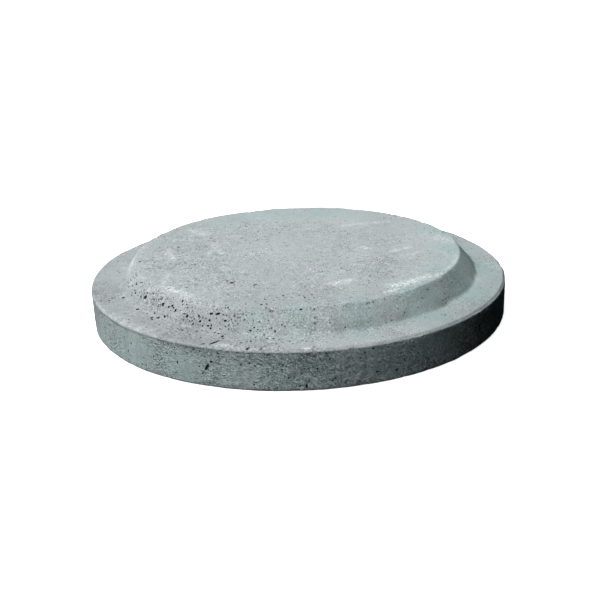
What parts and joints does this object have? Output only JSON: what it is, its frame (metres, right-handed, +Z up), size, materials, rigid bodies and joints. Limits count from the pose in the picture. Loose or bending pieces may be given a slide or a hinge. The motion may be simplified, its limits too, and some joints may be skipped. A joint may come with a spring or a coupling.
{
  "type": "manhole cover",
  "caption": "Round precast concrete manhole cover with a raised, bevel-sided centre, cast round a wire-tied steel cage on plastic bar chairs.",
  "frame": {"origin": "middle of the flat underside", "axes": "+Z up, from the underside through the raised centre; +X along the main bars of the mat, +Y along the cross bars"},
  "size_m": [0.7, 0.7, 0.1],
  "materials": {
    "concrete": "matte",
    "rebar": "matte",
    "tie_wire": "satin",
    "chair_plastic": "matte"
  },
  "bodies": {
    "root": {"cover_casting": "concrete", "main_bar_1": "rebar", "main_bar_2": "rebar", "main_bar_3": "rebar", "main_bar_4": "rebar", "main_bar_5": "rebar", "cross_bar_1": "rebar", "cross_bar_2": "rebar", "cross_bar_3": "rebar", "cross_bar_4": "rebar", "cross_bar_5": "rebar", "rim_hoop": "rebar", "boss_hoop": "rebar", "hoop_leg_1": "rebar", "hoop_leg_2": "rebar", "hoop_leg_3": "rebar", "hoop_leg_4": "rebar", "hoop_leg_5": "rebar", "hoop_leg_6": "rebar", "hoop_leg_7": "rebar", "hoop_leg_8": "rebar", "tie_wire_1": "tie_wire", "tie_wire_2": "tie_wire", "tie_wire_3": "tie_wire", "tie_wire_4": "tie_wire", "tie_wire_5": "tie_wire", "tie_wire_6": "tie_wire", "tie_wire_7": "tie_wire", "tie_wire_8": "tie_wire", "bar_chair_1": "chair_plastic", "bar_chair_2": "chair_plastic", "bar_chair_3": "chair_plastic", "bar_chair_4": "chair_plastic", "bar_chair_5": "chair_plastic", "bar_chair_6": "chair_plastic"}
  },
  "joints": []
}
